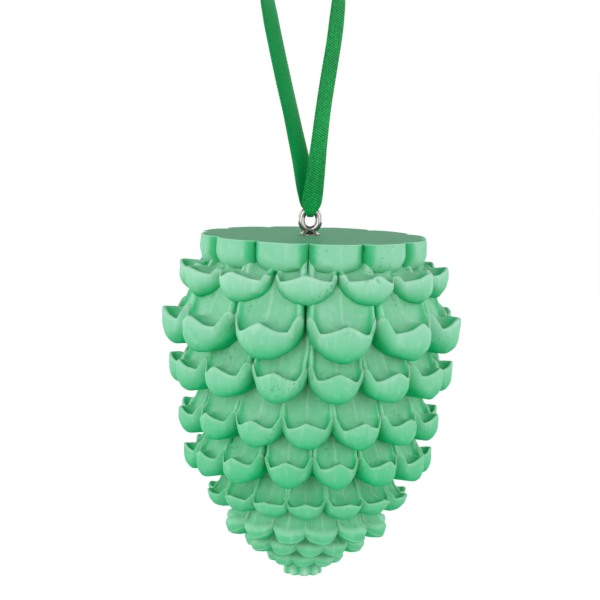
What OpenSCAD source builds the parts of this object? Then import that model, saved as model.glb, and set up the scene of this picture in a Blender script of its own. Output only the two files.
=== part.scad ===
// Pine cone ornament: a one-piece cast cone with rows of dished scales, a screw eye and a ribbon loop.
// Millimetres, +Z up along the cone's axis, front towards -Y, origin at the inside top of the ribbon loop.

/* [Hanging loop] */
// From the inside top of the ribbon loop down to the middle of the eye's top wire
hang_drop = 76; // [66:1:110]
// Width of the flat ribbon
ribbon_w = 5.6; // [4:0.1:7]
// Thickness of the ribbon
ribbon_t = 0.4; // [0.3:0.05:0.5]
// Width of the open arch at the top of the loop
arch_w = 19; // [14:1:26]
// Height of the arch above its shoulders
arch_h = 9; // [7:0.5:11]

/* [Screw eye] */
// Thickness of the eye's wire
wire_d = 1.85; // [1.5:0.05:1.95]
// Outer width of the ring
eye_w = 6.2; // [6:0.1:8]
// Outer height of the ring
eye_h = 7; // [6.8:0.1:9]
// Height of the ring's lowest edge above the cone's flat top
eye_lift = 0.45; // [0.2:0.05:1.5]
// Diameter of the collar that seats on the flat top
collar_d = 5; // [4:0.1:7]
// Height of the collar
collar_h = 1.2; // [0.8:0.1:2]
// Diameter of the shank in the cone
shank_d = 2.4; // [1.6:0.1:3.4]
// Length of the shank
shank_l = 11; // [6:0.5:18]
// Clearance round the shank and under its end
shank_gap = 0.1; // [0.05:0.05:0.3]
// Place of the eye, to the right of the cone's axis
eye_side = -1.2; // [-3:0.1:3]

/* [Cone] */
// Place of the cone's axis, to the right of the loop's top
cone_side = 4; // [0:0.5:8]
// Widest radius of the cone, at the tips of its widest row of scales
cone_r = 39; // [36:0.5:43]
// Radius where the rounded end starts, at the tips of its first row
end_r = 26.6; // [24:0.1:30]
// Radius of the bumps round the tip
tip_r = 5; // [4:0.1:6]
// Radius of the core at the flat top
core_top_r = 23; // [20:0.5:26]
// Radius of the core as a share of the scale tips' radius
core_share = 0.76; // [0.66:0.01:0.8]

/* [Top blocks] */
// Number of flat-topped blocks round the top
block_count = 12; // [8:1:14]
// Radius to the front of the blocks
block_r = 29.2; // [27:0.1:31]
// Width of a block
block_w = 12.4; // [9:0.1:13.5]
// Height of a block's upright face
block_face = 5; // [3:0.1:7]
// Height of the rounded underside below that face
block_round = 2.5; // [1.5:0.1:4]
// Turn of the blocks round the axis, in degrees
block_turn = 12.1; // [-15:0.1:15]

/* [Scale rows: tips inside the radius above, tip drop below the flat top, face height, half width] */
// Row under the blocks
row_a = [4.2, 6.3, 8.9, 7.4]; // [0:0.1:90]
// Widest row
row_b = [0, 19.1, 9.6, 8.6]; // [0:0.1:90]
// First row of the taper
row_c = [2.2, 31.3, 8, 7]; // [0:0.1:90]
// Second row of the taper
row_d = [4.8, 44.1, 7.1, 6.2]; // [0:0.1:90]
// Third row of the taper
row_e = [6.8, 54.5, 6.8, 5.7]; // [0:0.1:90]
// First row of the rounded end
row_f = [0, 65.6, 4.5, 5.1]; // [0:0.1:90]
// Second row of the rounded end
row_g = [5, 72.8, 4.7, 4.2]; // [0:0.1:90]
// Third row of the rounded end
row_h = [10.7, 77.6, 4, 3.8]; // [0:0.1:90]
// Fourth row of the rounded end
row_i = [17, 81.7, 3.3, 3.6]; // [0:0.1:90]
// Bumps round the tip
row_j = [0, 85.4, 3.1, 2.2]; // [0:0.1:90]

/* [Slopes] */
// Slope of the channels behind the lips, in degrees
slope = 60; // [52:1:64]
// Slope of the channels in the row under the blocks, in degrees
top_slope = 32; // [24:1:40]

/* [Scale shape: shares of a scale's half width] */
// Height of the point in the middle of the lip
lip_point = 0.28; // [0.1:0.01:0.45]
// Thickness of the lip
lip_t = 0.16; // [0.12:0.01:0.3]
// Length of the level toe behind the tip
toe_l = 0.66; // [0.5:0.01:0.8]
// Depth of the two hollows behind the lip
scoop = 0.13; // [0.05:0.01:0.25]
// Rise of the side rims above the channel
rim_h = 0.3; // [0.15:0.01:0.4]
// Rise of the keel along the middle of the channel
keel_h = 0.09; // [0:0.01:0.15]
// Height of the wall at each side
side_h = 0.1; // [0.05:0.01:0.3]
// How far the sides draw back in plan
round_end = 0.6; // [0.3:0.01:0.9]
// How far the underside draws in
under_cut = 0.42; // [0.2:0.01:0.7]
// Width of the root against the width at the lip
root_share = 0.72; // [0.6:0.01:0.8]

/* [Carving] */
// Unevenness of the scales' places, in degrees of turn and fifths of a millimetre of height
uneven = 0.7; // [0.2:0.1:1.5]

/* [Hidden] */

// Scales in each row, and the turn of the front one in degrees, from the top row down
ROW_COUNT = [12, 11, 14, 14, 14, 14, 12, 11, 9, 7];
ROW_TURN = [-3.8, 13.1, 11.4, -0.5, -10.7, 0.3, 14.8, 5.3, -3.4, 18];
// Each row as tip radius, tip drop, face height, half width and slope
function full_row(radius, row, steep) = [radius - row[0], row[1], row[2], row[3], steep];
ROWS = concat(
    [full_row(cone_r, row_a, top_slope)],
    [for (row = [row_b, row_c, row_d, row_e]) full_row(cone_r, row, slope)],
    [for (row = [row_f, row_g, row_h, row_i]) full_row(end_r, row, slope)],
    [full_row(tip_r, row_j, slope)]
);
LAST = len(ROWS) - 1;

// The stations across a scale, from one side to the other
ACROSS_FULL = [-1, -0.76, -0.4, 0, 0.4, 0.76, 1];
ACROSS_SMALL = [-1, -0.55, 0, 0.55, 1];
ACROSS_TINY = [-1, -0.5, 0.5, 1];
// How finely each row is shaped: 2 for the largest scales, 0 for the smallest
ROW_LEVEL = [1, 2, 1, 1, 1, 0, 0, 0, 0, 0];

wire_r = wire_d / 2;
bend_r = (eye_w - wire_d) / 2;
eye_x = cone_side + eye_side;
top_wire_z = -hang_drop;
eye_foot_z = top_wire_z + wire_r - eye_h;
top_z = eye_foot_z - eye_lift;
reach = cone_r + 11;
tip_drop = ROWS[LAST][1] + ROWS[LAST][2] * 0.85;

// Scale geometry: t runs from -1 to 1 across, a is its size without the sign

// A smooth step from 0 at the low end to 1 at the high end
function smooth(x, low, high) =
    let (u = max(0, min(1, (x - low) / (high - low))))
    u * u * (3 - 2 * u);

// How far the lip's edge falls from its point towards the sides
function lip_fall(a) = pow(sin(90 * min(1, a / 0.65)), 1.3) + 0.15 * pow(a, 8);
// How far the plan outline draws back towards the sides
function draw_back(a) = 1 - pow(max(0, 1 - pow(a, 2.4)), 1 / 2.4);
// How far the rounded underside climbs towards the sides
function climb(a) = 1 - sqrt(1 - 0.98 * a * a);
// Depth of the hollows across a scale: none in the middle, most half way
function hollow(a) = pow(max(0, sin(180 * min(1, a / 0.9))), 0.7);

function lip_r(row, a) = row[0] - round_end * row[3] * draw_back(a);
function edge_r(row, a) = lip_r(row, a) - lip_t * row[3];
function lip_z(row, a) = -row[1] - lip_point * row[3] * lip_fall(a);
// The root lies well inside the core
function root_r(row) = row[0] * core_share * 0.6;
function toe_r(row) = row[0] - toe_l * row[3];
// The knee between the level toe and the steep channel
function knee_r(row, a) = min(toe_r(row), edge_r(row, a) - 0.2 * row[3]);
function foot_z(row, a) =
    let (u = climb(a))
    -(row[1] + row[2]) * (1 - u) + (lip_z(row, 1) - side_h * row[3]) * u;
// Height of the channel above the toe, with a rounded knee
function ramp(row, r) =
    let (back = toe_r(row) - r)
    tan(row[4]) * (back + norm([back, 0.16 * row[3]])) / 2;

// Height of the dished upper face: a level toe behind the lip, and a steep channel with side rims and a keel
function dish(row, a, r) =
    let (w = row[3])
    let (channel = smooth(toe_r(row) - r, -0.3 * w, 0.22 * w))
    let (sides = lip_point - rim_h * smooth(a, 0.66, 0.86) - keel_h * (1 - smooth(a, 0, 0.5)))
    let (dip = scoop * hollow(a) * smooth(edge_r(row, a) - r, 0, 0.22 * w))
    let (toe = lip_z(row, a) - dip * w)
    toe * (1 - channel) - (row[1] + sides * w) * channel + ramp(row, r) - ramp(row, edge_r(row, a));

// A point on the upper face, at radius r
function upper(row, t, r) =
    let (w = row[3] * (root_share + (1 - root_share) * smooth(r, root_r(row), toe_r(row))))
    [t * w, -r, dish(row, abs(t), r)];

// A point on the outer face, v from 0 at the lip to 1 at the foot
function outer(row, t, v, inset) =
    let (a = abs(t))
    let (z = lip_z(row, a) + (foot_z(row, a) - lip_z(row, a)) * v)
    [t * row[3], -lip_r(row, a) + inset * row[3], z];

// The closed outline of a scale at one station across, from the root over the lip and back below
function outline(row, t, level) =
    let (a = abs(t))
    concat(
        [upper(row, t, root_r(row)), upper(row, t, knee_r(row, a))],
        [upper(row, t, edge_r(row, a)), outer(row, t, 0.03, 0.05)],
        level > 0 ? [outer(row, t, 0.62, 0.035)] : [],
        [
            outer(row, t, 1, under_cut),
            [t * row[3] * root_share, -root_r(row), foot_z(row, 0) + 0.3 * row[3]]
        ]
    );

// The two side faces, between the points along the top and the bottom of the outline
SIDES = [
    [[0, 1, 5], [1, 4, 5], [1, 2, 4], [2, 3, 4]],
    [[0, 1, 6], [1, 5, 6], [1, 2, 5], [2, 4, 5], [2, 3, 4]],
    [[0, 1, 6], [1, 5, 6], [1, 2, 5], [2, 4, 5], [2, 3, 4]]
];

module scale_of_cone(row, level) {
    across = level == 2 ? ACROSS_FULL : level == 0 ? ACROSS_TINY : ACROSS_SMALL;
    near = SIDES[level];
    count = len(outline(row, 0, level));
    last = len(across) - 1;
    points = [for (t = across) each outline(row, t, level)];
    skin = [
        for (j = [0 : last - 1], k = [0 : count - 1])
        let (p = j * count + k)
        let (q = j * count + (k + 1) % count)
        each [[p, p + count, q + count], [p, q + count, q]]
    ];
    far = [for (s = near) [for (i = [2, 1, 0]) s[i] + last * count]];
    polyhedron(points = points, faces = concat(near, skin, far), convexity = 4);
}

// A small hand-carved unevenness from scale to scale, from -1 to 1
function stray(i, k) = sin(k * 137.5 + i * 71);

module scale_row(i) {
    for (k = [0 : ROW_COUNT[i] - 1])
        rotate([0, 0, ROW_TURN[i] + k * 360 / ROW_COUNT[i] + uneven * stray(i, k + 3)])
            translate([0, 0, 0.2 * uneven * stray(i, k)])
                scale_of_cone(ROWS[i], ROW_LEVEL[i]);
}

module core() {
    profile = concat(
        [[0, 0], [core_top_r, 0]],
        [for (row = ROWS) [row[0] * core_share, -row[1]]],
        [[0, -tip_drop]]
    );
    rotate_extrude($fn = 12) polygon(profile);
}

// One flat-topped block: an upright face with round corners over a rounded underside
module block() {
    corner = block_w * 0.3;
    hull() {
        for (side = [-1, 1])
            translate([side * (block_w / 2 - corner), corner - block_r, -block_face])
                cylinder(r = corner, h = block_face, $fn = 8);
        translate([-block_w * 0.36, -core_top_r, -block_face])
            cube([block_w * 0.72, core_top_r / 3, block_face]);
        translate([0, corner * 1.4 - block_r, -block_face])
            scale([block_w * 0.46, corner * 1.3, block_round])
                sphere(r = 1, $fn = 10);
    }
}

module blocks() {
    for (k = [0 : block_count - 1])
        rotate([0, 0, block_turn + k * 360 / block_count])
            block();
}

module shank_hole() {
    translate([eye_side, 0, -shank_l - shank_gap])
        cylinder(d = shank_d + 2 * shank_gap, h = shank_l + shank_gap + 1, $fn = 32);
}

// The whole casting, with the flat cut across its top
module cone() {
    color([0.47, 0.76, 0.62])
        translate([cone_side, 0, top_z])
            difference() {
                union() {
                    core();
                    blocks();
                    for (i = [0 : LAST]) scale_row(i);
                }
                translate([-reach, -reach, 0]) cube([2 * reach, 2 * reach, reach * 0.4]);
                shank_hole();
            }
}

// Half of the ring, bent round the eye's hole
module ring_bend(start) {
    rotate([90, 0, 0])
        rotate_extrude(angle = 180, start = start, $fn = 64)
            translate([bend_r, 0]) circle(d = wire_d, $fn = 32);
}

// The eye: a wire ring with upright sides, a collar on the flat top and a shank in the casting
module screw_eye() {
    upper_z = top_wire_z - bend_r;
    lower_z = eye_foot_z + wire_r + bend_r;
    color([0.82, 0.82, 0.84])
        union() {
            translate([eye_x, 0, upper_z]) ring_bend(0);
            translate([eye_x, 0, lower_z]) ring_bend(180);
            for (side = [-1, 1])
                translate([eye_x + side * bend_r, 0, lower_z])
                    cylinder(d = wire_d, h = upper_z - lower_z, $fn = 32);
            translate([eye_x, 0, top_z]) collar();
            translate([eye_x, 0, top_z - shank_l]) cylinder(d = shank_d, h = shank_l + 0.2, $fn = 48);
        }
}

module collar() {
    brim = collar_h * 0.3;
    rotate_extrude($fn = 48)
        polygon([
            [0, 0],
            [collar_d / 2, 0],
            [collar_d / 2, brim],
            [wire_r * 1.15, collar_h],
            [0, collar_h]
        ]);
}

// Ribbon route: across from the eye, forward, height over the top wire, turn, share of the width, thickness
SEAT_Y = wire_r + 0.5;
ROUTE = [
    [0, 0, -wire_r - 0.58, 0, 0.27, 2],
    [0, -0.95, -1.25, 0, 0.36, 1.5],
    [0, -SEAT_Y, -0.2, 4, 0.6, 1.15],
    [0.1, -SEAT_Y - 0.05, 1, 10, 0.84, 1],
    [0.4, -SEAT_Y + 0.1, 3, 22, 1, 1],
    [0.8, -1.2, 6, 29, 1, 1],
    [1.3, -0.9, 12, 36, 1, 1],
    [1.8, -0.6, 18, 42, 1, 1],
    [2.5, -0.4, 25.5, 45, 1, 1],
    [3.5, -0.2, 33.6, 45, 1, 1],
    [4.7, 0, 42.6, 46, 1, 1],
    [5.3, 0, 48.8, 47, 1, 1],
    [5.7, 0, 56, 55, 1, 1],
    [arch_w / 2 - 1.2 - eye_x, 0, hang_drop - arch_h, 72, 1, 1],
    [arch_w * 0.3 - eye_x, 0, hang_drop - 2, 86, 1, 1],
    [-eye_x, 0, hang_drop + 0.2, 90, 1, 1],
    [-arch_w * 0.3 - eye_x, 0, hang_drop - 2, 86, 1, 1],
    [-arch_w / 2 - eye_x, 0, hang_drop - arch_h, 72, 1, 1],
    [-12.8, 0, 56, 55, 1, 1],
    [-11.6, 0, 48.8, 47, 1, 1],
    [-10, 0, 41.8, 46, 1, 1],
    [-8, 0.2, 33.5, 45, 1, 1],
    [-5.9, 0.4, 25.3, 45, 1, 1],
    [-4.4, 0.6, 19.1, 42, 1, 1],
    [-2.7, 0.9, 12.1, 36, 1, 1],
    [-1.4, 1.2, 6, 29, 1, 1],
    [-0.5, SEAT_Y - 0.1, 3, 22, 1, 1],
    [-0.1, SEAT_Y + 0.05, 1, 10, 0.84, 1],
    [0, SEAT_Y, -0.2, 4, 0.6, 1.15],
    [0, 0.95, -1.25, 0, 0.36, 1.5]
];
STEPS = 2;

// A smooth curve through four stations, u from 0 to 1 between the middle two
function through(a, b, c, d, u) =
    0.5 * (2 * b + (c - a) * u + (2 * a - 5 * b + 4 * c - d) * u * u + (3 * b - a - 3 * c + d) * u * u * u);

function station(i, u) =
    let (n = len(ROUTE))
    through(ROUTE[(i + n - 1) % n], ROUTE[i], ROUTE[(i + 1) % n], ROUTE[(i + 2) % n], u);

function unit(v) = v / norm(v);
function spot(s) = [eye_x + s[0], s[1], top_wire_z + s[2]];

// The flat eight-sided section of the ribbon at one station, square to its run
function section(s, run) =
    let (flat = [cos(s[3]), sin(s[3]), 0])
    let (wide = unit(flat - run * (flat * run)))
    let (thick = cross(run, wide))
    let (w = ribbon_w * s[4] / 2)
    let (h = ribbon_t * s[5] / 2)
    [
        for (p = [[1, 0.5], [0.8, 1], [-0.8, 1], [-1, 0.5], [-1, -0.5], [-0.8, -1], [0.8, -1], [1, -0.5]])
            spot(s) + wide * p[0] * w + thick * p[1] * h
    ];

// The ribbon: one closed band, through the eye, up, over the arch and down again
module ribbon_loop() {
    sides = 8;
    stations = [for (i = [0 : len(ROUTE) - 1], j = [0 : STEPS - 1]) station(i, j / STEPS)];
    n = len(stations);
    points = [
        for (i = [0 : n - 1])
            let (ahead = spot(stations[(i + 1) % n]))
            let (behind = spot(stations[(i + n - 1) % n]))
            each section(stations[i], unit(ahead - behind))
    ];
    faces = [
        for (i = [0 : n - 1], k = [0 : sides - 1])
        let (a = i * sides + k)
        let (b = i * sides + (k + 1) % sides)
        let (c = ((i + 1) % n) * sides + (k + 1) % sides)
        let (d = ((i + 1) % n) * sides + k)
        each [[a, c, b], [a, d, c]]
    ];
    color([0.0, 0.42, 0.22])
        polyhedron(points = points, faces = faces, convexity = 8);
}

cone();
screw_eye();
ribbon_loop();
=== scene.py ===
import logging
import math
from dataclasses import dataclass, field
from enum import Enum

import bmesh
import bpy
import numpy as np
from mathutils import Matrix, Vector


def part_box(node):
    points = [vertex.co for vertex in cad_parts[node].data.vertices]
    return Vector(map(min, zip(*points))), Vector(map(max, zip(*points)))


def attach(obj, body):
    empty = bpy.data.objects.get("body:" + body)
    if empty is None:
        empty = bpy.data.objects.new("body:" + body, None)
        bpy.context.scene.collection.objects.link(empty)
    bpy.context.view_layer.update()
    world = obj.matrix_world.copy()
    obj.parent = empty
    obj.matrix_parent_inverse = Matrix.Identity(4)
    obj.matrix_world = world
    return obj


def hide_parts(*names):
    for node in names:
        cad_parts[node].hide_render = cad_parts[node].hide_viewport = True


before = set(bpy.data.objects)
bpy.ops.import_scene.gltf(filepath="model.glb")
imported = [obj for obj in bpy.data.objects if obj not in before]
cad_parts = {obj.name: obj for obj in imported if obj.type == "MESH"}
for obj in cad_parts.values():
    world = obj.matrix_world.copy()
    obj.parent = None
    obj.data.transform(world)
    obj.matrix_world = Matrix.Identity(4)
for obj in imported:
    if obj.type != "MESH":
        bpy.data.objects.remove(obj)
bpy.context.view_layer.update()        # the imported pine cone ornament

log = logging.getLogger("pine_cone_ornament")

BODY = "root"
MM = 0.001
QUARTER = math.pi / 2   # a quarter turn, radians
FULL = 2 * math.pi      # a full turn, radians
WIRE_R = 0.925          # half the eye wire's thickness, mm
HANG_DROP = 76.0        # from the loop's inside top to the eye's top wire, mm
CONE_X = 4.0            # the cone's axis, mm
EYE_X = 2.8             # the eye, mm
TOP_Z = -82.525         # the flat top, mm
SEAT_Y = WIRE_R + 0.5   # the ribbon's distance from the wire's middle, mm
BOX_MARGIN = 2e-5       # how far the dressed casting stays inside its solid's box, m
WHITE = (1, 1, 1, 1)


# Shader maths


class Sock:
    """A shader socket that can stand in a Python expression.

    An expression on values adds the Math nodes that it needs.
    """

    def __init__(self, shader: "Shader", link: "bpy.types.NodeSocket | None") -> None:
        """Keep the socket and the shader it belongs to.

        Args:
            shader: The shader under construction.
            link: The output socket, or None for a node without outputs.
        """
        self.shader = shader
        self.link = link

    def _math(self, operation: str, *values: "Value", clamp: bool = False) -> "Sock":
        """Add one Math node.

        Args:
            operation: The node's operation.
            values: Its inputs, in order.
            clamp: Whether the result stays between 0 and 1.

        Returns:
            The node's result.
        """
        settings = {"operation": operation, "use_clamp": clamp}
        return self.shader.node("ShaderNodeMath", settings, dict(enumerate(values)))

    def __add__(self, other: "Value") -> "Sock":
        """Sum of two values."""
        return self._math("ADD", self, other)

    def __radd__(self, other: "Value") -> "Sock":
        """Sum of two values."""
        return self._math("ADD", other, self)

    def __sub__(self, other: "Value") -> "Sock":
        """Difference of two values."""
        return self._math("SUBTRACT", self, other)

    def __rsub__(self, other: "Value") -> "Sock":
        """Difference of two values."""
        return self._math("SUBTRACT", other, self)

    def __mul__(self, other: "Value") -> "Sock":
        """Product of two values."""
        return self._math("MULTIPLY", self, other)

    def __rmul__(self, other: "Value") -> "Sock":
        """Product of two values."""
        return self._math("MULTIPLY", other, self)

    def sine(self) -> "Sock":
        """Sine of this value in radians."""
        return self._math("SINE", self)

    def clamped(self) -> "Sock":
        """This value kept between 0 and 1."""
        return self._math("ADD", self, 0.0, clamp=True)

    def ramp(self, low: float, high: float) -> "Sock":
        """Smooth step of this value.

        Args:
            low: Where the step starts, at 0.
            high: Where the step ends, at 1.

        Returns:
            The stepped value.
        """
        settings = {"interpolation_type": "SMOOTHSTEP"}
        return self.shader.node("ShaderNodeMapRange", settings, {0: self, 1: low, 2: high})


Value = Sock | float | int
Colour = tuple[float, float, float, float]
Place = tuple[float, float, float]
Faces = list[tuple[int, ...]]


class Shader:
    """The node tree of a material or the world, under construction."""

    def __init__(self, owner: "bpy.types.Material | bpy.types.World") -> None:
        """Start with an empty tree.

        Args:
            owner: The material or world that the tree belongs to.
        """
        self.owner = owner
        owner.use_nodes = True
        self.tree = owner.node_tree
        self.tree.nodes.clear()

    @classmethod
    def named(cls, name: str) -> "Shader":
        """Start a new material of this name."""
        return cls(bpy.data.materials.new(name))

    def node(
        self, kind: str, settings: dict | None = None, inputs: dict | None = None, out: int | str = 0
    ) -> Sock:
        """Add any node.

        Args:
            kind: The node's type.
            settings: Its properties, set before the sockets.
            inputs: Values or links for its sockets, by name or number.
            out: The output wanted, by name or number.

        Returns:
            That output, or an empty one for a node without outputs.
        """
        made = self.tree.nodes.new(kind)
        for key, value in (settings or {}).items():
            setattr(made, key, value)
        for key, value in (inputs or {}).items():
            if isinstance(value, Sock):
                self.tree.links.new(value.link, made.inputs[key])
            else:
                made.inputs[key].default_value = value
        return Sock(self, made.outputs[out] if len(made.outputs) else None)

    def mix(self, factor: Value, one: Sock | Colour, other: Sock | Colour) -> Sock:
        """Mix two colours.

        Args:
            factor: 0 for the first colour, 1 for the other.
            one: The first colour.
            other: The other colour.

        Returns:
            The mixed colour.
        """
        return self.node("ShaderNodeMix", {"data_type": "RGBA"}, {0: factor, 6: one, 7: other}, out=2)

    def attribute(self, name: str) -> Sock:
        """Value of a mesh attribute by name."""
        return self.node("ShaderNodeAttribute", {"attribute_name": name}, out="Fac")

    def noise(self, scale: float, detail: float, stretch: Place | None = None) -> Sock:
        """Noise in the object's own frame, in metres.

        Args:
            scale: Features a metre.
            detail: Octaves.
            stretch: Scale along each axis, where it isn't even.

        Returns:
            A value about 0.5.
        """
        at = self.node("ShaderNodeTexCoord", out="Object")
        if stretch:
            at = self.node("ShaderNodeMapping", inputs={0: at, 3: stretch})
        return self.node("ShaderNodeTexNoise", inputs={"Vector": at, "Scale": scale, "Detail": detail})

    def bump(self, height: Sock, strength: float, depth: float) -> Sock:
        """Surface relief.

        Args:
            height: Height from 0 to 1.
            strength: Share of the relief that shows.
            depth: Height of 1, in metres.

        Returns:
            The bent normal.
        """
        return self.node("ShaderNodeBump", inputs={"Strength": strength, "Distance": depth, "Height": height})

    def surface(self, **sockets: Sock | Colour | float) -> bpy.types.Material:
        """Close the material with a Principled shader.

        Args:
            sockets: Values or links, by socket name with _ for a space.

        Returns:
            The finished material.
        """
        inputs = {key.replace("_", " "): value for key, value in sockets.items()}
        self.end("ShaderNodeOutputMaterial", self.node("ShaderNodeBsdfPrincipled", inputs=inputs))
        return self.owner

    def end(self, kind: str, shader: Sock) -> None:
        """Link a finished shader to an output of this kind."""
        self.node(kind, inputs={0: shader})


# Finishes


@dataclass(frozen=True)
class CastResin:
    """Matte mint resin with painted shade, pale edges of painted highlight and wear, and fine casting pits.
    """

    # the lit resin colour, then its painted shade: a saturated green for recesses, undersides and lower rows
    face: Colour = (0.31, 0.64, 0.445, 1)
    painted_shade: Colour = (0.0, 0.455, 0.150, 1)
    # pale colour of scuffs, chalky bloom and the edge lines, which are a painted highlight with some wear
    wear_and_highlight: Colour = (0.480, 0.770, 0.600, 1)
    # the flat cut top's colour: its own darker tone with painted shade, for a level face that gets little
    # light
    shaded_cut_top: Colour = (0.090, 0.345, 0.175, 1)
    pit: Colour = (0.05, 0.42, 0.19, 1)
    roughness: float = 0.66
    specular: float = 0.1
    cloudy: float = 0.3         # how far broad clouds shift the shade
    scuffed: float = 0.25       # how far scuffs pale the faces
    chalky: float = 0.22        # how far a chalky bloom pales them
    pitted: float = 0.6         # how far the pits darken
    strength: float = 0.55      # share of the relief that shows
    relief: float = 0.00022     # full height of the relief, m

    def material(self) -> bpy.types.Material:
        """Build the resin material.

        Returns:
            The material.
        """
        s = Shader.named("cast_resin")
        painted_light, edge, shaded_cut_top = (s.attribute(name) for name in ("painted_light", "edge", "shaded_cut_top"))
        cloud, scuff, grain = s.noise(70, 3), s.noise(260, 4), s.noise(1500, 3)
        # painted shade: the per-point painted light, clouded, blends the painted shade colour into the lit
        # face colour
        shade = (painted_light + (cloud - 0.5) * self.cloudy).clamped()
        colour = s.mix(shade * (shade * 0.8 + 0.2), self.painted_shade, self.face)
        # scuffs and chalky bloom are scaled by the painted light too, so they pale the lit faces most
        scuffs = scuff.ramp(0.56, 0.72) * shade * self.scuffed
        # pale edge lines: a painted highlight with some wear, mixed with the scuffs
        colour = s.mix((edge * (scuff * 0.7 + 0.25) + scuffs).clamped(), colour, self.wear_and_highlight)
        chalk = s.noise(850, 4, (1, 1, 0.25)).ramp(0.5, 0.72) * shade * self.chalky
        colour = s.mix(chalk.clamped(), colour, self.wear_and_highlight)
        streaks = s.noise(160, 3, (1, 5, 1))
        # the flat cut top: darker, with saw streaks; partly its own tone, partly painted shade
        colour = s.mix((shaded_cut_top * (streaks * 0.7 + 0.55)).clamped(), colour, self.shaded_cut_top)
        pits = s.noise(980, 2).ramp(0.56, 0.66) * s.noise(105, 2).ramp(0.55, 0.68)
        colour = s.mix((pits * self.pitted).clamped(), colour, self.pit)
        height = grain * 0.16 + scuff * 0.3 - pits * 0.8
        return s.surface(
            Base_Color=colour,
            Roughness=self.roughness,
            Specular_IOR_Level=self.specular,
            Normal=s.bump(height, self.strength, self.relief),
        )


@dataclass(frozen=True)
class Nickel:
    """Polished nickel plate with faint drawn marks."""

    colour: Colour = (0.36, 0.34, 0.325, 1)
    roughness: float = 0.14     # where there are no marks
    marked: float = 0.16        # how far the marks roughen it
    strength: float = 0.25      # share of the relief that shows
    relief: float = 0.00008     # full height of the relief, m

    def material(self) -> bpy.types.Material:
        """Build the metal material.

        Returns:
            The material.
        """
        s = Shader.named("nickel_plate")
        marks = s.noise(900, 3, (1, 1, 6))
        return s.surface(
            Base_Color=self.colour,
            Metallic=1.0,
            Roughness=marks * self.marked + self.roughness,
            Normal=s.bump(s.noise(420, 2), self.strength, self.relief),
        )


class Face(Enum):
    """The two faces of the ribbon."""

    WOVEN = "woven"
    SATIN = "satin"


@dataclass(frozen=True)
class RibbonWeave:
    """Green ribbon cloth, as one of its faces shows it."""

    face: Face
    pitch: float                # of the crosswise ribs, mm
    slant: float                # of the ribs, mm along for each mm across
    deep: Colour
    light: Colour
    roughness: float
    strength: float             # share of the relief that shows
    warp_pitch: float = 0.42    # of the threads along the ribbon, mm
    specular: float = 0.12
    relief: float = 0.00014     # full height of the relief, m

    def material(self) -> bpy.types.Material:
        """Build the cloth material of this face.

        Returns:
            The material.
        """
        s = Shader.named("ribbon_" + self.face.value)
        along, across = s.attribute("along_mm"), s.attribute("across_mm")
        weft = ((along + across * self.slant) * (FULL / self.pitch)).sine() * 0.5 + 0.5
        warp = (across * (FULL / self.warp_pitch)).sine() * 0.5 + 0.5
        if self.face is Face.WOVEN:
            cloth = weft * (0.45 + 0.55 * warp) + (s.noise(1300, 2) - 0.5) * 1.3
        else:
            cloth = weft * 0.3 + warp * 0.25
        shade = (cloth * 0.8 + (s.noise(90, 2) - 0.5) * 0.5).clamped()
        return s.surface(
            Base_Color=s.mix(shade, self.deep, self.light),
            Roughness=self.roughness,
            Specular_IOR_Level=self.specular,
            Normal=s.bump(cloth, self.strength, self.relief),
        )


WEAVES = (
    RibbonWeave(Face.WOVEN, 0.62, 0.35, (0.0, 0.15, 0.030, 1), (0.004, 0.52, 0.105, 1), 0.5, 0.6),
    RibbonWeave(Face.SATIN, 0.34, 0.1, (0.0, 0.215, 0.048, 1), (0.0, 0.36, 0.082, 1), 0.34, 0.3),
)


# Mesh tools


def new_object(name: str, data: "bpy.types.ID") -> bpy.types.Object:
    """Put a new object in the scene.

    Args:
        name: The object's name.
        data: Its mesh, lamp or camera.

    Returns:
        The object.
    """
    obj = bpy.data.objects.new(name, data)
    bpy.context.scene.collection.objects.link(obj)
    return obj


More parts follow.
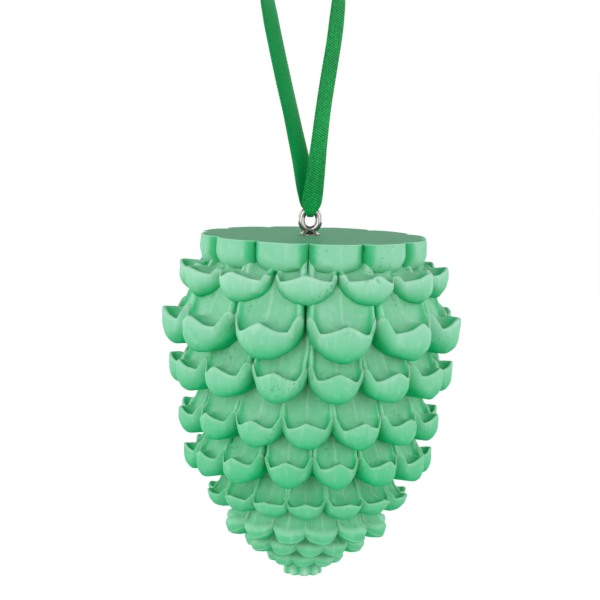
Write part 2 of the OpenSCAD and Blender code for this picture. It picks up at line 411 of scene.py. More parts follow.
@dataclass
class Shell:
    """Points, faces and three values a point, of a mesh that grows piece by piece."""

    points: list[np.ndarray] = field(default_factory=list)
    faces: Faces = field(default_factory=list)
    painted_light: list[np.ndarray] = field(default_factory=list)
    edge: list[np.ndarray] = field(default_factory=list)
    shaded_cut_top: list[np.ndarray] = field(default_factory=list)
    count: int = 0

    def add(
        self,
        points: np.ndarray,
        faces: Faces,
        painted_light: np.ndarray,
        edge: np.ndarray,
        shaded_cut_top: np.ndarray | None = None,
    ) -> None:
        """Add a patch.

        Args:
            points: Its points, one row each, in mm.
            faces: Its faces, by the patch's own point numbers.
            painted_light: Painted light at each point, from 0 in full painted shade to 1 on a lit face.
            edge: How strongly each point gets the pale edge line, a painted highlight with some wear, from 0
                to 1.
            shaded_cut_top: Whether each point lies on the flat cut top, which gets its own darker tone and
                painted shade, from 0 to 1.
        """
        self.points.append(points)
        self.faces += [tuple(i + self.count for i in face) for face in faces]
        self.painted_light.append(painted_light)
        self.edge.append(edge)
        self.shaded_cut_top.append(np.zeros(len(points)) if shaded_cut_top is None else shaded_cut_top)
        self.count += len(points)

    def build(self, name: str) -> bpy.types.Object:
        """Make the object.

        Args:
            name: The object's name.

        Returns:
            The new object, smooth and in metres.
        """
        mesh = bpy.data.meshes.new(name)
        low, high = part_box("cone")
        margin = Vector((BOX_MARGIN,) * 3)
        inner = high - margin
        points = np.clip(np.concatenate(self.points) * MM, low + margin, (inner.x, inner.y, high.z))
        mesh.from_pydata(points.tolist(), [], self.faces)
        work = bmesh.new()
        work.from_mesh(mesh)
        bmesh.ops.recalc_face_normals(work, faces=work.faces[:])
        work.to_mesh(mesh)
        work.free()
        for key, values in (("painted_light", self.painted_light), ("edge", self.edge), ("shaded_cut_top", self.shaded_cut_top)):
            mesh.attributes.new(key, "FLOAT", "POINT").data.foreach_set("value", np.concatenate(values))
        mesh.shade_smooth()
        mesh.update()
        return new_object(name, mesh)


def grid_faces(rows: int, columns: int) -> Faces:
    """Quads of a grid of points.

    Args:
        rows: Rows of points.
        columns: Points in a row.

    Returns:
        The faces.
    """
    return [
        (r * columns + c, (r + 1) * columns + c, (r + 1) * columns + c + 1, r * columns + c + 1)
        for r in range(rows - 1)
        for c in range(columns - 1)
    ]


def ring_faces(rings: int, sides: int, closed: bool = False) -> Faces:
    """Quads between rings of points.

    Args:
        rings: Rings, one after another.
        sides: Points in a ring.
        closed: Whether the last ring joins the first.

    Returns:
        The faces.
    """
    faces = []
    for i in range(rings if closed else rings - 1):
        one, other = i * sides, (i + 1) % rings * sides
        for k in range(sides):
            after = (k + 1) % sides
            faces.append((one + k, other + k, other + after, one + after))
    return faces


def zip_faces(upper: list[int], lower: list[int], flip: bool) -> Faces:
    """Triangles between two rows of points that run the same way.

    Args:
        upper: Point numbers along the upper edge.
        lower: Point numbers along the lower edge.
        flip: Whether the faces turn the other way.

    Returns:
        The faces.
    """
    faces, i, j = [], 0, 0
    while i < len(upper) - 1 or j < len(lower) - 1:
        step_up = j == len(lower) - 1 or (i < len(upper) - 1 and i * len(lower) <= j * len(upper))
        new = (upper[i], upper[i + 1], lower[j]) if step_up else (upper[i], lower[j + 1], lower[j])
        i, j = (i + 1, j) if step_up else (i, j + 1)
        faces.append(new[::-1] if flip else new)
    return faces


def side_faces(rows: int, columns: int, top: int, shared: int) -> Faces:
    """Walls that close the two sides of a grid wrapped over, round and under a piece.

    Args:
        rows: Rows of points, from side to side.
        columns: Points in a row, from the root over the front and back.
        top: Columns along the upper edge.
        shared: Column where the lower edge starts.

    Returns:
        The faces.
    """
    faces = []
    for side, flip in ((0, False), (rows - 1, True)):
        first = side * columns
        above = [first + c for c in range(top)]
        below = [first + c for c in range(columns - 1, shared - 1, -1)]
        faces += zip_faces(above, below, not flip)
    return faces


def smooth(x: np.ndarray | float, low: float, high: float) -> np.ndarray:
    """Smooth step from 0 at low to 1 at high."""
    u = np.clip((np.asarray(x, float) - low) / (high - low), 0, 1)
    return u * u * (3 - 2 * u)


def stray(row: int, place: float) -> float:
    """A small fixed unevenness of a place in a row, from -1 to 1."""
    return math.sin(math.radians(place * 137.5 + row * 71))


def on_axis(points: np.ndarray, degrees: float) -> np.ndarray:
    """Turn points about the cone's axis and put them on it.

    Args:
        points: Points in mm, from the middle of the flat top.
        degrees: The turn.

    Returns:
        The points in the part's own frame.
    """
    a = math.radians(degrees)
    x, y = points[:, 0], points[:, 1]
    out = points.copy()
    out[:, 0] = x * math.cos(a) - y * math.sin(a) + CONE_X
    out[:, 1] = x * math.sin(a) + y * math.cos(a)
    out[:, 2] += TOP_Z
    return out


# Waves of the carving: their run along each axis, their phase and their height in mm
CARVING = (
    (0.9, 0.5, 0.7, 0.0, 0.07),
    (-0.6, 1.1, 0.4, 1.7, 0.06),
    (1.7, -0.8, 1.3, 2.9, 0.035),
    (-1.2, -1.9, 0.9, 4.1, 0.03),
    (2.6, 1.4, -2.2, 5.3, 0.018),
)
AXIS_PHASE = 1.9        # from one axis's waves to the next one's


def hand_carved(points: np.ndarray) -> np.ndarray:
    """Soft unevenness of a hand-carved master.

    Args:
        points: Points in mm.

    Returns:
        How far each point moves, in mm.
    """
    move = np.zeros_like(points)
    for axis in range(3):
        for i, (a, b, c, phase, size) in enumerate(CARVING):
            turned = (points @ np.roll((a, b, c), axis)) + phase + axis * AXIS_PHASE + i
            move[:, axis] += size * np.sin(turned)
    return move


# The cone


@dataclass(frozen=True)
class ScaleRow:
    """One row of scales. Lengths are in mm, shares are of the half width."""

    count: int
    turn: float             # of the front scale, degrees
    tip_r: float            # radius to the tip
    drop: float             # of the tip below the flat top
    face: float             # height of the outer face
    half: float             # half width
    point: float = 0.27     # rise of the lip's middle above its valleys
    corner: float = 0.46    # rise of the lip's corners above its valleys
    valley: float = 0.73    # place of the valleys across
    toe: float = 0.66       # length of the level toe behind the tip
    steep: float = 64.0     # slope of the channel, degrees
    rim: float = 0.30       # rise of the side rims
    scoop: float = 0.13     # depth of the two hollows behind the lip, 0 for a plain tongue
    tail: float = 0.75      # how far the sides draw back in plan
    slant: float = 0.05     # how far the face leans in
    under: float = 0.40     # how far the underside draws in
    across: int = 33        # samples across
    # Single scales by number, with their own turn in degrees and drop in mm
    shifts: tuple[tuple[int, float, float], ...] = ()


# What the small tongues of the three lowest rows share
TONGUE = {"point": 0.0, "corner": 0.1, "scoop": 0.0, "rim": 0.0, "slant": 0.26, "steep": 70.0}
ROWS = (
    ScaleRow(
        12, -3.8, 34.8, 7.3, 7.8, 7.6, point=0.24, corner=0.22, valley=0.86, toe=0.9, steep=50.0,
        rim=0.2, tail=0.7,
        shifts=((0, 0.6, 0.0), (1, 1.5, 0.0), (11, -2.4, 0.13), (10, -3.0, 0.25), (2, 2.0, 0.0)),
    ),
    ScaleRow(
        11, 13.1, 38.8, 19.1, 9.6, 9.0,
        shifts=((0, 0.4, 0.12), (1, 0.6, 0.12), (2, 0.5, 0.14), (10, -0.3, 0.0), (9, -1.1, 0.0)),
    ),
    ScaleRow(
        14, 11.4, 36.8, 31.3, 8.0, 7.3,
        shifts=((0, 0.2, 0.0), (1, 0.7, 0.0), (2, 1.3, 0.28), (12, -1.2, 0.0), (13, -0.2, 0.0)),
    ),
    ScaleRow(
        14, -0.5, 34.2, 44.1, 7.1, 6.7,
        shifts=((0, -0.4, -0.22), (1, -0.6, -0.17), (2, -1.5, -0.22), (12, 1.5, -0.42), (13, 1.0, -0.11)),
    ),
    ScaleRow(
        14, -10.7, 32.2, 54.5, 6.8, 6.1, across=29,
        shifts=((0, 1.1, -0.28), (1, -0.5, -0.18), (2, -1.0, -0.24), (12, 2.0, -0.23), (13, -0.3, -0.08)),
    ),
    ScaleRow(
        14, 0.3, 26.5, 65.7, 4.7, 5.5, point=0.16, corner=0.34, scoop=0.08, rim=0.2, slant=0.3,
        under=0.5, across=25,
        shifts=((0, -0.9, -0.2), (1, -1.1, -0.2), (2, -2.5, -0.5), (12, 3.0, -0.5), (13, 1.7, -0.2)),
    ),
    ScaleRow(
        12, 14.8, 21.5, 72.9, 4.6, 4.7, under=0.50, across=21, **TONGUE,
        shifts=((0, -2.5, 0.0), (1, -3.0, -0.2), (10, 3.0, -0.2), (11, 2.0, 0.0)),
    ),
    ScaleRow(
        11, 5.3, 15.9, 77.7, 4.0, 4.3, under=0.50, across=19, **TONGUE,
        shifts=((0, -0.2, -0.1), (1, -3.0, -0.2), (10, 2.0, -0.2)),
    ),
    ScaleRow(
        9, -3.4, 10.2, 81.8, 3.4, 3.9, under=0.45, across=17, **TONGUE,
        shifts=((0, 0.3, 0.0), (1, 3.0, 0.1)),
    ),
)
CORE_SHARE = 0.66       # radius of the core against the tips'
FLAT_PAINTED_LIGHT = 0.42       # painted light on the flat top, kept low as painted shade


@dataclass
class Core:
    """The turned core with its flat top. Lengths are in mm."""

    seat_r: float = 12.0        # inner ring of the flat top
    flat_r: float = 22.9        # where the flat top stops being shaded flat
    top_r: float = 23.2
    top_depth: float = 1.0      # height of the upright side below the flat top
    tip: tuple[tuple[float, float], ...] = ((4.0, -84.0), (4.0, -87.4))
    sides: int = 64
    sawn_above: float = -0.3    # the flat top's points lie above this

    def add_to(self, shell: Shell) -> None:
        """Add the core.

        Args:
            shell: The mesh that takes it.
        """
        profile = [(self.seat_r, 0.0), (self.flat_r, 0.0), (self.top_r, 0.0), (self.top_r, -self.top_depth)]
        profile += [(row.tip_r * CORE_SHARE, -row.drop) for row in ROWS]
        profile += self.tip
        turns = [FULL * k / self.sides for k in range(self.sides)]
        points = np.array([(r * math.cos(a), r * math.sin(a), z) for r, z in profile for a in turns])
        faces = ring_faces(len(profile), self.sides)
        faces += [tuple(range(first, first + self.sides)) for first in (0, len(points) - self.sides)]
        # the flat top gets the cut-top colour and low painted light; the rest of the core, deep in the
        # recesses, is in full painted shade
        shaded_cut_top = np.where(points[:, 2] > self.sawn_above, 1.0, 0.0)
        shell.add(on_axis(points, 0), faces, shaded_cut_top * FLAT_PAINTED_LIGHT, np.zeros(len(points)), shaded_cut_top)


@dataclass
class TopBlocks:
    """The ring of flat-topped blocks. Lengths are in mm."""

    count: int = 12
    turn: float = 12.1          # of the first block, degrees
    half: float = 6.2           # half width
    front: float = 29.2         # radius to the front
    face: float = 5.0           # height of the upright face
    lower: float = 2.7          # height of the rounded underside
    rounding: float = 0.35      # of the upper edge
    across: int = 33            # samples across
    top: int = 7                # columns of points along the side walls' upper edge

    def add_to(self, shell: Shell) -> None:
        """Add all the blocks.

        Args:
            shell: The mesh that takes them.
        """
        for k in range(self.count):
            self._block(shell, self.turn + k * 360 / self.count, k)

    def _columns(self, a: np.ndarray) -> list[tuple[np.ndarray, np.ndarray, float]]:
        """Lines of points from the root over the flat top, down the face and back below.

        Args:
            a: Place across, 0 in the middle and 1 at the sides.

        Returns:
            Radius, height and painted light, for each line: lit on the upright face and its edge, painted
            shade on the flat top, towards the underside and at the back below.
        """
        edge, bend = self.rounding, 0.55
        plan = self.front - 0.62 * self.half * (1 - np.clip(1 - a**3.0, 0, 1) ** (1 / 3.0))
        foot = self.face + self.lower * np.sqrt(np.clip(1 - 0.9 * a * a, 0, 1))
        columns = [
            (np.full_like(a, r), np.full_like(a, z), FLAT_PAINTED_LIGHT) for r, z in ((21.6, -0.05), (23.4, -0.004))
        ]
        columns += [(plan - edge - u, np.zeros_like(a), 0.45) for u in (0.75, 0.35, 0.0)]
        for u in (0.33, 0.66, 1.0):
            back, lift = edge * (1 - math.sin(u * QUARTER)), edge * (1 - math.cos(u * QUARTER))
            columns.append((plan - back, np.full_like(a, -lift), 0.84))
        columns += [(plan + 0.12 * math.sin(v * 3), -foot * v, 0.87) for v in (0.2, 0.4, bend)]
        for v in (0.66, 0.76, 0.85, 0.92, 0.97, 1.0):
            inset = 1 - math.sqrt(1 - ((v - bend) / 0.45) ** 2)
            columns.append((plan + 0.1 - 0.5 * self.half * inset, -foot * v, 0.84 - 0.4 * inset))
        return columns + [(np.full_like(a, r), -foot * 0.96, 0.1) for r in (21.0, 15.0)]

    def _block(self, shell: Shell, degrees: float, k: int) -> None:
        """Add one block.

        Args:
            shell: The mesh that takes it.
            degrees: Its turn about the axis.
            k: Its number.
        """
        t = np.sin(np.linspace(-QUARTER, QUARTER, self.across))
        a = np.abs(t)
        columns = self._columns(a)
        n = len(columns)
        points = np.zeros((len(t) * n, 3))
        painted_light, edge, shaded_cut_top = (np.zeros(len(t) * n) for _ in range(3))
        for c, (r, z, p) in enumerate(columns):
            narrow = (0.5 + 0.5 * smooth(r, 10, 24)) * (1.07 - 0.07 * smooth(r, 25.2, 28.4))
            points[c::n] = np.stack((t * self.half * narrow, -r, z), axis=1)
            # painted shade towards the sides, where neighbouring blocks meet in narrow grooves
            painted_light[c::n] = p * (0.35 + 0.65 * smooth(1 - a, 0, 0.25))
            # pale line on the rounded upper edge: a painted highlight with some wear
            edge[c::n] = 0.8 if 4 <= c < self.top else 0.0
            # the flat cut top, darker in its own tone and in painted shade
            shaded_cut_top[c::n] = 1.0 if c <= 4 else 0.0
        faces = grid_faces(len(t), n) + side_faces(len(t), n, self.top, self.top)
        move = hand_carved(on_axis(points, degrees + 17 * k))
        move[:, 2] *= points[:, 2] < -0.5
        shell.add(on_axis(points + move, degrees), faces, painted_light, edge, shaded_cut_top)


@dataclass
class DishedScale:
    """One scale: columns of points over its dished top, round its lip and under it."""

    row: ScaleRow
    number: int             # of the row, from the top
    place: int              # of the scale, from the front one
    fine_rows: int = 5      # rows of large scales, from the top
    uneven: float = 0.7     # stray turn of a scale, degrees
    lip: float = 0.08       # roundness of the lip's edge, a share of the half width
    tongue_lip: float = 4.5     # how many times rounder a tongue's edge is
    root: float = 0.12      # how far the root goes into the core, a share of the tip's radius
    ceiling: float = -0.6   # nothing of a scale rises above this, mm

    RUN = (0.0, 0.12, 0.24, 0.36, 0.47, 0.57, 0.65, 0.72, 0.78, 0.83, 0.875, 0.91, 0.94, 0.965, 0.985, 1.0)
    FALL = (0.1, 0.2, 0.32, 0.44, 0.55, 0.65, 0.74, 0.82, 0.89, 0.95, 0.985, 1.0)
    TONGUE_FALL = (0.12, 0.3, 0.46, 0.6, 0.7, 0.74, 0.79, 0.86, 0.93, 1.0)
    KEEL = (-0.055, -0.028, 0.028, 0.055)

    def __post_init__(self) -> None:
        """Work out the lines that the scale's parts share."""
        row = self.row
        self.fine = self.number < self.fine_rows
        self.run = self.RUN if self.fine else self.RUN[::3]
        self.w = w = row.half * (1 + 0.02 * stray(self.number, self.place + 9))
        samples = np.sin(np.linspace(-QUARTER, QUARTER, row.across))
        self.t = np.sort(np.concatenate((samples, self.KEEL)))
        self.a = a = np.abs(self.t)
        wrap = 1 - np.sqrt(1 - np.clip((a - 0.82) / 0.18, 0, 1) ** 2)
        self.plan = row.tip_r - (row.tail * a**1.9 + 0.16 * wrap) * w
        self.edge = self.lip * w * (1.0 if row.scoop else self.tongue_lip)
        self.edge_r = self.plan - self.edge
        self.lip_z = self._lip_height()
        climb = 1 - np.sqrt(1 - 0.99 * a * a)
        self.foot = -(row.drop + row.face) * (1 - climb) + (self.lip_z[0] - 0.1 * w) * climb
        self.toe_r = row.tip_r - row.toe * w
        self.inner = row.tip_r * (CORE_SHARE - self.root)

    def _lip_height(self) -> np.ndarray:
        """Height of the lip: a point in the middle, a valley at each side and raised corners.

        Returns:
            The heights below the flat top.
        """
        row, w, a = self.row, self.w, self.a
        fall = np.sin(np.minimum(1, a / row.valley) * math.pi / 2) ** 1.4
        corner = smooth(a, row.valley - 0.05, 0.94) - 0.3 * smooth(a, 0.93, 1.0)
        return -row.drop - row.point * w * fall + row.corner * w * corner

    def _dish(self, r: np.ndarray) -> np.ndarray:
        """Height of the dished upper face.

        Args:
            r: Radius of the points.

        Returns:
            The heights below the flat top.
        """
        row, w, a = self.row, self.w, self.a
        behind = self.edge_r - r
        tan = math.tan(math.radians(row.steep))
        if row.scoop == 0:
            ridge = 0.05 * w * np.exp(-((a / 0.10) ** 2)) + 0.05 * w * np.exp(-(((a - 0.88) / 0.06) ** 2))
            return self.lip_z + tan * behind + ridge * smooth(behind, 0, 0.2 * w)
        knee = 0.16 * w
        back = self.toe_r - r
        slope = tan * (back + np.sqrt(back * back + knee * knee)) / 2
        channel = smooth(back, -0.30 * w, 0.22 * w) * smooth(behind, 0.0, 0.22 * w)
        rims = smooth(a, 0.70, 0.84)
        round_off = 0.5 * (1 - np.sqrt(np.clip(1 - (np.maximum(0, a - 0.88) / 0.12) ** 2, 0, 1)))
        keel = np.exp(-((a / 0.035) ** 2)) * 0.045 + 0.06 * (1 - smooth(a, 0.0, 0.5))
        flat = -row.drop - row.point * w + row.rim * w * (rims - round_off) + keel * w
        hollows = np.sin(np.clip(a / 0.92, 0, 1) * math.pi) ** 0.7
        scoop = row.scoop * w * smooth(behind, 0.0, 0.16 * w) * hollows
        return (self.lip_z - scoop) * (1 - channel) + (flat + slope) * channel

    def _shade(self, r: np.ndarray) -> tuple[np.ndarray, np.ndarray]:
        """Painted shade and pale edge lines of the upper face.

        Args:
            r: Radius of the points.

        Returns:
            Painted light, lowered as painted shade deep in the channel, in the hollows behind the lip and at
            the sides, and the pale rim and keel lines, a painted highlight with some wear, from 0 to 1.
        """
        a = self.a
        behind = (self.edge_r - r) / self.w
        # painted shade: darker towards the root, in the hollows behind the lip and at the sides
        out = 1 - smooth(behind, 1.1, 2.4)
        hollow = smooth(behind, 0.0, 0.08) * (1 - smooth(behind, 0.14, 0.5)) * (self.row.scoop > 0)
        sides = smooth(a, 0.93, 1.0)
        painted_light = np.clip(0.24 + 0.64 * out - 0.55 * hollow - 0.45 * sides * (1 - 0.5 * out), 0, 1)
        # pale lines along the rims and keel: a painted highlight with some wear
        lines = np.exp(-(((a - 0.89) / 0.05) ** 2)) + 0.6 * np.exp(-((a / 0.045) ** 2))
        return painted_light, np.clip(lines * (1 - smooth(behind, 1.3, 2.4)), 0, 1)

    def _columns(self) -> list[tuple[np.ndarray, np.ndarray, np.ndarray, np.ndarray]]:
        """Lines of points from the root over the lip, down the face and back below.

        Returns:
            Radius, height, painted light and the pale edge line, for each line.
        """
        row, w, edge, plan = self.row, self.w, self.edge, self.plan
        one = np.ones_like(self.a)
        columns = []
        for f in self.run:
            r = self.inner + (self.edge_r - self.inner) * f
            columns.append((r, self._dish(r), *self._shade(r)))
        # the lip's rounded edge: fully lit, with the pale line of a painted highlight and wear
        for u in ((0.35, 0.7, 1.0) if self.fine else (0.6, 1.0)):
            back, lift = edge * (1 - math.sin(u * QUARTER)), edge * (1 - math.cos(u * QUARTER))
            columns.append((plan - back, self.lip_z - lift, one, one * (1.2 - u)))
        start = self.lip_z - edge
        bend = 0.35 if row.scoop else 0.74
        # down the face: painted shade grows towards the bottom and where it draws in; a tongue gets a pale
        # painted highlight line at its bend
        for v in (self.FALL if row.scoop else self.TONGUE_FALL):
            inset = 1 - math.sqrt(1 - (max(0.0, v - bend) / (1 - bend)) ** 2)
            back = plan - (row.slant * v + row.under * inset) * w
            wear_and_highlight = 0.0 if row.scoop else 0.55 * math.exp(-(((v - bend) / 0.05) ** 2))
            painted_light = one * (1 - 0.35 * v - 0.65 * inset)
            columns.append((back, start + (self.foot - start) * v, painted_light, one * wear_and_highlight))
        # underneath: full painted shade
        for r, rise in ((row.tip_r - 1.25 * w, 0.04), (self.inner, 0.3)):
            back = np.minimum(plan - (row.slant + row.under) * w - 0.05, r)
            columns.append((back, self.foot + rise * w, one * 0, one * 0))
        return columns

    def add_to(self, shell: Shell) -> None:
        """Add the scale.

        Args:
            shell: The mesh that takes it.
        """
        row, w, columns = self.row, self.w, self._columns()
        n, top, rows = len(columns), len(self.run), len(self.t)
        points, painted_light, wear_and_highlight = np.zeros((rows * n, 3)), np.zeros(rows * n), np.zeros(rows * n)
        for c, (r, z, p, e) in enumerate(columns):
            narrow = 0.72 + 0.28 * smooth(r, self.inner - 0.5 * w, self.toe_r)
            points[c::n] = np.stack((self.t * w * narrow, -r, z), axis=1)
            # painted shade by row: each row down to the fifth a little darker, as lower rows get less light
            # from above
            row_shade = 0.09 if c >= top else 0.05
            painted_light[c::n], wear_and_highlight[c::n] = p * (1 - row_shade * min(self.number, 4)), e
        faces = grid_faces(rows, n) + side_faces(rows, n, top, top - 1)
        turn, fall = self._shift()
        self._lean(points, fall)
        degrees = row.turn + self.place * 360 / row.count + turn
        points += hand_carved(on_axis(points, degrees + 29 * self.place))
        points[:, 2] = np.minimum(points[:, 2], self.ceiling)
        shell.add(on_axis(points, degrees), faces, painted_light, wear_and_highlight)

    def _shift(self) -> tuple[float, float]:
        """This scale's own turn in degrees and drop in mm.

        Returns:
            The set ones of a front scale, and small stray ones of any other.
        """
        own = {number: (turn, fall) for number, turn, fall in self.row.shifts}
        turn = self.uneven * stray(self.number, self.place + 3)
        fall = -0.2 * self.uneven * stray(self.number, self.place)
        return own.get(self.place, (turn, fall))

    def _lean(self, points: np.ndarray, fall: float) -> None:
        """Lean the points a little to one side and lower them.

        Args:
            points: The scale's points, which move.
            fall: How far they come down, in mm.
        """
        lean = math.radians(2.2 * stray(self.number, self.place + 5))
        middle = -self.row.drop - self.row.face / 2
        x, z = points[:, 0].copy(), points[:, 2] - middle
        points[:, 0] = x * math.cos(lean) + z * math.sin(lean)
        points[:, 2] = z * math.cos(lean) - x * math.sin(lean) + middle - fall


@dataclass
class FlutedTip:
    """The fluted end of the tip, a short flared skirt with small teeth. Lengths are in mm."""

    # Radius, height below the flat top and how far the teeth show, ring by ring
    rings: tuple[Place, ...] = (
        (3.6, -83.2, 0.0),
        (4.4, -84.2, 0.2),
        (4.75, -85.4, 0.6),
        (4.95, -86.7, 1.0),
        (5.05, -87.6, 1.0),
        (4.9, -88.1, 1.0),
        (4.3, -88.35, 0.6),
        (2.6, -88.3, 0.2),
        (0.8, -88.2, 0.0),
    )
    sides: int = 108
    teeth: int = 9
    first: float = 0.22         # turn of the teeth, radians
    off_axis: float = 0.6       # how far the tip stands to the left
    depth: float = 0.055        # of the flutes, a share of the radius
    hem: float = 0.7            # rise of the hem between the teeth

    def add_to(self, shell: Shell) -> None:
        """Add the tip.

        Args:
            shell: The mesh that takes it.
        """
        points, painted_light, wear_and_highlight = [], [], []
        for r, z, tooth in self.rings:
            for k in range(self.sides):
                turn = FULL * k / self.sides
                lobe = abs(math.sin(self.teeth * (turn + self.first) / 2)) ** 0.7
                keel = math.exp(-((1 - lobe) / 0.02) ** 2)
                reach = r * (1 + tooth * self.depth * (lobe - 1)) + 0.08 * tooth * keel
                rise = tooth * self.hem * (1 - lobe)
                points.append((reach * math.sin(turn), -reach * math.cos(turn), z + rise))
                # painted shade between the teeth and under the tip; a pale line of painted highlight and wear
                # on the teeth's keels
                painted_light.append(min(1.0, 0.35 + 0.65 * tooth * lobe) if z > -88.2 else 0.15)
                wear_and_highlight.append(0.7 * keel * tooth)
        faces = ring_faces(len(self.rings), self.sides)
        faces.append(tuple((len(self.rings) - 1) * self.sides + k for k in range(self.sides)))
        placed = on_axis(np.array(points) - (self.off_axis, 0.0, 0.0), 0)
        shell.add(placed, faces, np.array(painted_light), np.array(wear_and_highlight))


@dataclass
class CastCone:
    """The casting: a core, a ring of flat-topped blocks, nine rows of scales and the fluted tip."""

    finish: CastResin
    upper_rows: int = 3     # rows in the upper piece

    def build(self) -> list[bpy.types.Object]:
        """Build, dress and mount the casting.

        Returns:
            Its two pieces.
        """
        upper, lower = Shell(), Shell()
        Core().add_to(upper)
        TopBlocks().add_to(upper)
        for i, row in enumerate(ROWS):
            for k in range(row.count):
                DishedScale(row, i, k).add_to(upper if i < self.upper_rows else lower)
        FlutedTip().add_to(lower)
        material = self.finish.material()
        pieces = []
        for name, shell in (("cone_top", upper), ("cone_taper", lower)):
            obj = shell.build(name)
            obj.data.materials.append(material)
            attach(obj, BODY)
            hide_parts("cone")
            pieces.append(obj)
        return pieces


# Eye and ribbon


@dataclass
class ScrewEye:
    """The bent wire ring with its collar, kept from the solids."""

    finish: Nickel

    def build(self) -> bpy.types.Object:
        """Dress the ring's own solid.

        Returns:
            The CAD node's object.
        """
        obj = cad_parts["screw_eye"]
        obj.data.materials.clear()
        obj.data.materials.append(self.finish.material())
        return obj


# The ribbon's route, as in the source: its place in mm from the middle of the eye's top wire,
# the turn of its flat side in degrees, and shares of its width and of its thickness
ROUTE = (
    (0, 0, -WIRE_R - 0.58, 0, 0.27, 2),
    (0, -0.95, -1.25, 0, 0.36, 1.5),
    (0, -SEAT_Y, -0.2, 4, 0.6, 1.15),
    (0.1, -SEAT_Y - 0.05, 1, 10, 0.84, 1),
    (0.4, -SEAT_Y + 0.1, 3, 22, 1, 1),
    (0.8, -1.2, 6, 29, 1, 1),
    (1.3, -0.9, 12, 36, 1, 1),
    (1.8, -0.6, 18, 42, 1, 1),
    (2.5, -0.4, 25.5, 45, 1, 1),
    (3.5, -0.2, 33.6, 45, 1, 1),
    (4.7, 0, 42.6, 46, 1, 1),
    (5.3, 0, 48.8, 47, 1, 1),
    (5.7, 0, 56, 55, 1, 1),
    (5.5, 0, HANG_DROP - 9, 72, 1, 1),
    (2.9, 0, HANG_DROP - 2, 86, 1, 1),
    (-2.8, 0, HANG_DROP + 0.2, 90, 1, 1),
    (-8.5, 0, HANG_DROP - 2, 86, 1, 1),
    (-12.3, 0, HANG_DROP - 9, 72, 1, 1),
    (-12.8, 0, 56, 55, 1, 1),
    (-11.6, 0, 48.8, 47, 1, 1),
    (-10, 0, 41.8, 46, 1, 1),
    (-8, 0.2, 33.5, 45, 1, 1),
    (-5.9, 0.4, 25.3, 45, 1, 1),
    (-4.4, 0.6, 19.1, 42, 1, 1),
    (-2.7, 0.9, 12.1, 36, 1, 1),
    (-1.4, 1.2, 6, 29, 1, 1),
    (-0.5, SEAT_Y - 0.1, 3, 22, 1, 1),
    (-0.1, SEAT_Y + 0.05, 1, 10, 0.84, 1),
    (0, SEAT_Y, -0.2, 4, 0.6, 1.15),
    (0, 0.95, -1.25, 0, 0.36, 1.5),
)
# Half of the ribbon's section: across from 1 to -1, and its height
HALF_SECTION = (
    (1.0, 0.4), (0.9, 0.95), (0.6, 1.0), (0.2, 1.0), (-0.2, 1.0), (-0.6, 1.0), (-0.9, 0.95), (-1.0, 0.4)
)


@dataclass
class RibbonLoop:
    """The flat ribbon, through the eye, up, over the arch and down again."""

    width: float = 5.6      # mm
    thick: float = 0.4      # mm
    steps: int = 18         # stations from one point of the route to the next
    notch: float = 0.1      # depth of the woven edge's notches, mm

    def build(self) -> bpy.types.Object:
        """Returns:
            The ribbon.
        """
        stations = self._stations()
        centres = [np.array((EYE_X + s[0], s[1], -HANG_DROP + s[2])) for s in stations]
        mesh, length = self._band(stations, centres)
        obj = new_object("ribbon_band", mesh)
        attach(obj, BODY)
        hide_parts("ribbon_loop")
        log.info("ribbon loop: %.1f mm round", length)
        return obj

    def _band(self, stations: list[np.ndarray], centres: list[np.ndarray]) -> tuple[bpy.types.Mesh, float]:
        """Sweep the ribbon's section along its route.

        Args:
            stations: The stations, as in the route.
            centres: The middle of the ribbon at each, in mm.

        Returns:
            The dressed mesh and the ribbon's length round the loop, in mm.
        """
        shape = [*HALF_SECTION, *((-p, -q) for p, q in HALF_SECTION)]
        n, m = len(centres), len(shape)
        points, along, across = [], [], []
        length = 0.0
        for i, (s, at) in enumerate(zip(stations, centres)):
            after = centres[(i + 1) % n]
            run = after - centres[i - 1]
            run /= np.linalg.norm(run)
            flat = np.array((math.cos(math.radians(s[3])), math.sin(math.radians(s[3])), 0.0))
            wide = flat - run * (flat @ run)
            wide /= np.linalg.norm(wide)
            thick = np.cross(run, wide)
            reach = self.width / 2 - (self.notch if i % 2 else 0.0)
            for p, q in shape:
                points.append(at + wide * p * reach * s[4] + thick * q * self.thick * s[5] / 2)
                along.append(length)
                across.append(p * self.width / 2)
            length += float(np.linalg.norm(after - at))
        mesh = bpy.data.meshes.new("ribbon_band")
        mesh.from_pydata((np.array(points) * MM).tolist(), [], ring_faces(n, m, closed=True))
        for name, values in (("along_mm", along), ("across_mm", across)):
            mesh.attributes.new(name, "FLOAT", "POINT").data.foreach_set("value", values)
        mesh.shade_smooth()
        for weave in WEAVES:
            mesh.materials.append(weave.material())
        for i, face in enumerate(mesh.polygons):
            face.material_index = 1 if i % m < m // 2 else 0
        return mesh, length

    def _stations(self) -> list[np.ndarray]:
        """Stations along the route, on one smooth closed curve.

        Returns:
            The stations, each as in the route.
        """
        made = []
        for i in range(len(ROUTE)):
            a, b, c, d = (np.array(ROUTE[(i + step) % len(ROUTE)], float) for step in (-1, 0, 1, 2))
            for j in range(self.steps):
                u = j / self.steps
                square = (2 * a - 5 * b + 4 * c - d) * u * u
                made.append(0.5 * (2 * b + (c - a) * u + square + (3 * b - a - 3 * c + d) * u**3))
        return made


# The stage


@dataclass(frozen=True)
class Lamp:
    """A square soft lamp. Lengths are in metres."""

    name: str
    place: Place
    size: float
    watts: float


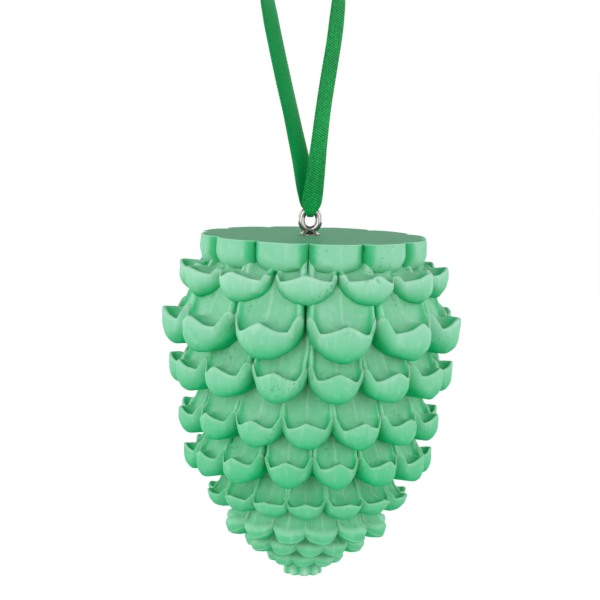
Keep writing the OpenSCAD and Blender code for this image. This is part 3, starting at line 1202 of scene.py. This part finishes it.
@dataclass
class Stage:
    """Camera, pale floor and soft studio light."""

    target: Place = (4.0, 0.0, -99.3)   # what the camera looks at, mm
    distance: float = 671.0             # mm
    pitch: float = 5.85                 # how far the camera looks down, degrees
    roll: float = 1.68                  # degrees
    lens: float = 156.0                 # mm
    sensor: float = 36.0                # mm
    shift_px: float = -12.5             # sideways shift of the picture, pixels
    frame_px: float = 600               # width of the photograph, pixels
    clip: tuple[float, float] = (0.02, 20.0)        # m
    floor_size: float = 30.0            # half its side, m
    floor_z: float = -0.245             # m
    floor_grey: float = 0.9             # how pale the floor's paint is
    floor_glow: float = 1.06            # strength of the white that the camera sees
    floor_share: float = 0.93           # share of that white, the rest keeps the shadow
    world_light: float = 0.28           # strength of the even light all round
    aim: Place = (0, 0, -0.12)          # what the lamps face, m
    lamps: tuple[Lamp, ...] = (
        Lamp("key", (-0.65, -1.15, 0.20), 1.1, 9.6),
        Lamp("fill", (0.80, -1.05, 0.10), 1.1, 7.7),
        Lamp("side_left", (-1.1, 0.35, 0.25), 1.0, 8.1),
        Lamp("side_right", (1.1, 0.35, 0.25), 1.0, 7.4),
        Lamp("back", (0.15, 1.25, 0.30), 1.1, 5.0),
    )

    def camera(self) -> bpy.types.Object:
        """Place the camera at the photograph's viewing angle.

        Returns:
            The camera.
        """
        data = bpy.data.cameras.new("camera")
        data.lens, data.sensor_width = self.lens, self.sensor
        data.shift_x = self.shift_px / self.frame_px
        data.clip_start, data.clip_end = self.clip
        obj = new_object("camera", data)
        pitch = math.radians(self.pitch)
        back = Vector((0, -math.cos(pitch), math.sin(pitch)))
        place = (Vector(self.target) + back * self.distance) * MM
        roll = Matrix.Rotation(math.radians(self.roll), 4, "Z")
        turn = back.to_track_quat("Z", "Y").to_matrix().to_4x4() @ roll
        obj.matrix_world = Matrix.Translation(place) @ turn
        bpy.context.scene.camera = obj
        return obj

    def floor(self) -> bpy.types.Object:
        """Lay a wide pale floor below the ornament.

        Returns:
            The floor.
        """
        mesh = bpy.data.meshes.new("floor")
        size, z = self.floor_size, self.floor_z
        corners = [(-size, -size, z), (size, -size, z), (size, size, z), (-size, size, z)]
        mesh.from_pydata(corners, [], [(0, 1, 2, 3)])
        s = Shader.named("pale_floor")
        paint = s.node("ShaderNodeBsdfDiffuse", inputs={"Color": (*(self.floor_grey,) * 3, 1)})
        glow = s.node("ShaderNodeEmission", inputs={"Color": WHITE, "Strength": self.floor_glow})
        seen = s.node("ShaderNodeLightPath", out="Is Camera Ray")
        gloss = s.node("ShaderNodeLightPath", out="Is Glossy Ray")
        share = (seen + gloss).clamped() * self.floor_share
        s.end("ShaderNodeOutputMaterial", s.node("ShaderNodeMixShader", inputs={0: share, 1: paint, 2: glow}))
        mesh.materials.append(s.owner)
        obj = new_object("floor", mesh)
        return obj

    def light(self) -> None:
        """Hang the lamps and set an even pale world, which the camera sees as white."""
        for lamp in self.lamps:
            data = bpy.data.lights.new(lamp.name, "AREA")
            data.size, data.energy = lamp.size, lamp.watts
            obj = new_object(lamp.name, data)
            obj.location = lamp.place
            way = Vector(self.aim) - Vector(lamp.place)
            obj.rotation_euler = way.to_track_quat("-Z", "Y").to_euler()
        world = bpy.data.worlds.new("studio")
        bpy.context.scene.world = world
        s = Shader(world)
        lit = s.node("ShaderNodeBackground", inputs={0: WHITE, 1: self.world_light})
        shown = s.node("ShaderNodeBackground", inputs={0: WHITE, 1: 1.0})
        seen = s.node("ShaderNodeLightPath", out="Is Camera Ray")
        s.end("ShaderNodeOutputWorld", s.node("ShaderNodeMixShader", inputs={0: seen, 1: lit, 2: shown}))


def main() -> None:
    """Build the scene in order and report each piece."""
    logging.basicConfig(level=logging.INFO, format="%(message)s")
    stage = Stage()
    stage.camera()
    pieces = [RibbonLoop().build(), ScrewEye(Nickel()).build(), *CastCone(CastResin()).build()]
    pieces.append(stage.floor())
    stage.light()
    for piece in pieces:
        log.info("%s: %d points", piece.name, len(piece.data.vertices))
    bpy.context.scene.view_settings.view_transform = "Standard"


if __name__ == "__main__":
    main()
